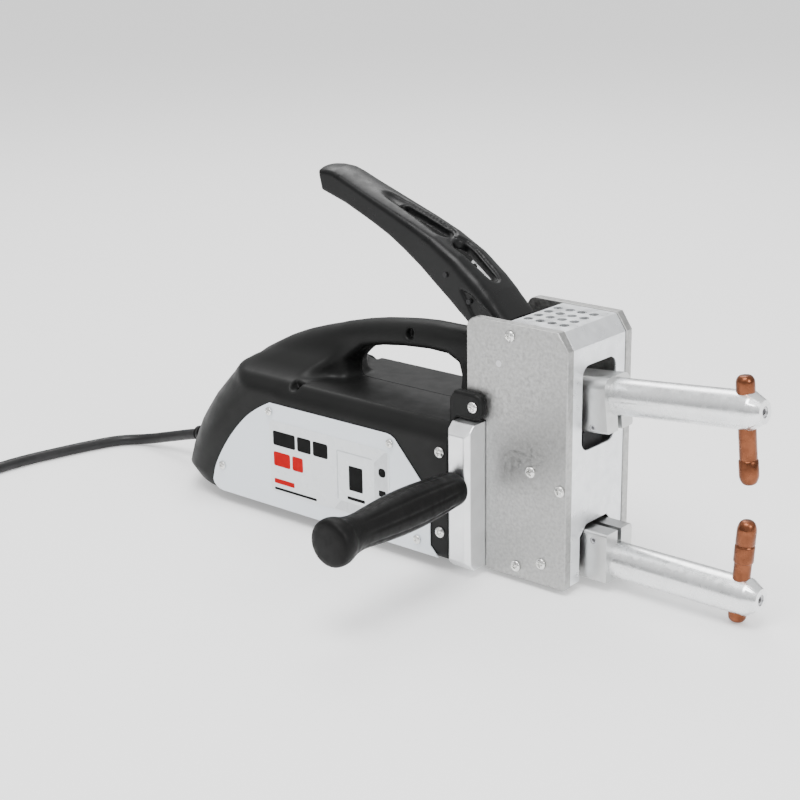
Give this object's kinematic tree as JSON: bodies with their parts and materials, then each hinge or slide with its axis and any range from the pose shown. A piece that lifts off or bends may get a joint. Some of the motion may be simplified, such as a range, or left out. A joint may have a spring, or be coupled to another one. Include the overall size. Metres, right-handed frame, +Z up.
{
  "type": "portable spot welder",
  "caption": "Hand-held lever spot welder: moulded housing with carry handle, aluminium welding head, two arms with copper electrodes, side handle and mains cord.",
  "frame": {"origin": "middle of the front foot's underside, on the floor below the transverse plate", "axes": "+X from the housing towards the electrodes, +Y to the tool's left, +Z up"},
  "size_m": [0.8843, 0.3415, 0.2839],
  "materials": {
    "cast_aluminium": "fine machined",
    "plate_aluminium": "mottled satin",
    "cover_sheet": "bright satin",
    "zinc": "zinc plated",
    "steel": "ground",
    "spring_steel": "oiled",
    "bronze": "sintered",
    "machined_aluminium": "machined",
    "arm_aluminium": "turned",
    "copper": "brushed copper",
    "insulation": "laminate",
    "lever_plastic": "satin",
    "switch_plastic": "fine",
    "plunger_plastic": "smooth",
    "housing_plastic": "fine texture",
    "panel_paint": "powder coat",
    "label_film": "printed film",
    "handle_rubber": "matte",
    "core_iron": "laminated",
    "winding_copper": "enamelled",
    "board_laminate": "solder mask",
    "brass": "turned",
    "terminal_plastic": "moulded",
    "cord_rubber": "matte",
    "plug_rubber": "moulded",
    "foot_rubber": "matte"
  },
  "bodies": {
    "frame_unit": {"transverse_plate": "cast_aluminium", "side_plate_right": "plate_aluminium", "side_plate_left": "plate_aluminium", "front_cover": "cover_sheet", "head_screws": "zinc", "housing_screws": "zinc", "panel_screws": "zinc", "rocker_shaft": "steel", "lever_pin": "steel", "return_springs": "spring_steel", "lower_clamp_block": "machined_aluminium", "lower_clamp_screw": "steel", "arm_insulators": "insulation", "switch_body": "switch_plastic", "switch_bracket": "steel", "housing_right": "housing_plastic", "housing_left": "housing_plastic", "housing_brackets": "steel", "side_panel_right": "panel_paint", "side_panel_left": "panel_paint", "label_right": "label_film", "label_left": "label_film", "side_handle": "handle_rubber", "handle_stud": "steel", "transformer_core": "core_iron", "primary_winding": "winding_copper", "secondary_winding": "winding_copper", "lower_busbar": "copper", "upper_busbar": "copper", "winding_terminals": "copper", "flexible_shunt": "copper", "control_board": "board_laminate", "board_standoffs": "brass", "terminal_block": "terminal_plastic", "cable_clamp": "terminal_plastic", "strain_relief": "cord_rubber", "cord_tube": "cord_rubber", "cord_coil": "cord_rubber", "cord_tail": "cord_rubber", "plug_body": "plug_rubber", "plug_pins": "brass", "foot_front": "foot_rubber", "foot_rear": "foot_rubber"},
    "lower_arm_unit": {"lower_arm": "arm_aluminium", "lower_end_screw": "steel", "lower_electrode": "copper", "lower_cap": "copper"},
    "rocker_unit": {"rocker": "cast_aluminium", "rocker_bushes": "bronze", "upper_clamp_block": "machined_aluminium", "upper_clamp_screw": "steel"},
    "upper_arm_unit": {"upper_arm": "arm_aluminium", "upper_end_screw": "steel", "upper_electrode": "copper", "upper_cap": "copper"},
    "lever_unit": {"lever": "lever_plastic", "lever_cheeks": "steel", "thrust_bar": "steel", "lever_screws": "zinc"},
    "plunger_unit": {"switch_plunger": "plunger_plastic"}
  },
  "joints": [
    {"name": "lever_hinge", "type": "hinge", "parent": "frame_unit", "child": "lever_unit", "pos_m": [0.022, 0, 0.165], "axis": [0, -1, 0], "range_deg": [0, 20], "stiffness_Nm_per_rad": 8, "springref_deg": -17.19, "deforming": ["return_springs"]},
    {"name": "arm_hinge", "type": "hinge", "parent": "frame_unit", "child": "rocker_unit", "pos_m": [0.051, 0, 0.089], "axis": [0, 1, 0], "range_deg": [0, 9.21], "deforming": ["flexible_shunt"]},
    {"name": "upper_arm_slide", "type": "slide", "parent": "rocker_unit", "child": "upper_arm_unit", "axis": [0.9954, 0, 0.0958], "range_m": [-0.008, 0.008]},
    {"name": "lower_arm_slide", "type": "slide", "parent": "frame_unit", "child": "lower_arm_unit", "axis": [1, 0, 0], "range_m": [-0.008, 0.008]},
    {"name": "switch_plunger_slide", "type": "slide", "parent": "frame_unit", "child": "plunger_unit", "axis": [-1, 0, 0], "range_m": [0, 0.00121]}
  ],
  "couplings": [
    {"joint": "arm_hinge", "follows": "lever_hinge", "ratio": 0.46},
    {"joint": "switch_plunger_slide", "follows": "lever_hinge", "m_per_rad": 0.0034377}
  ]
}
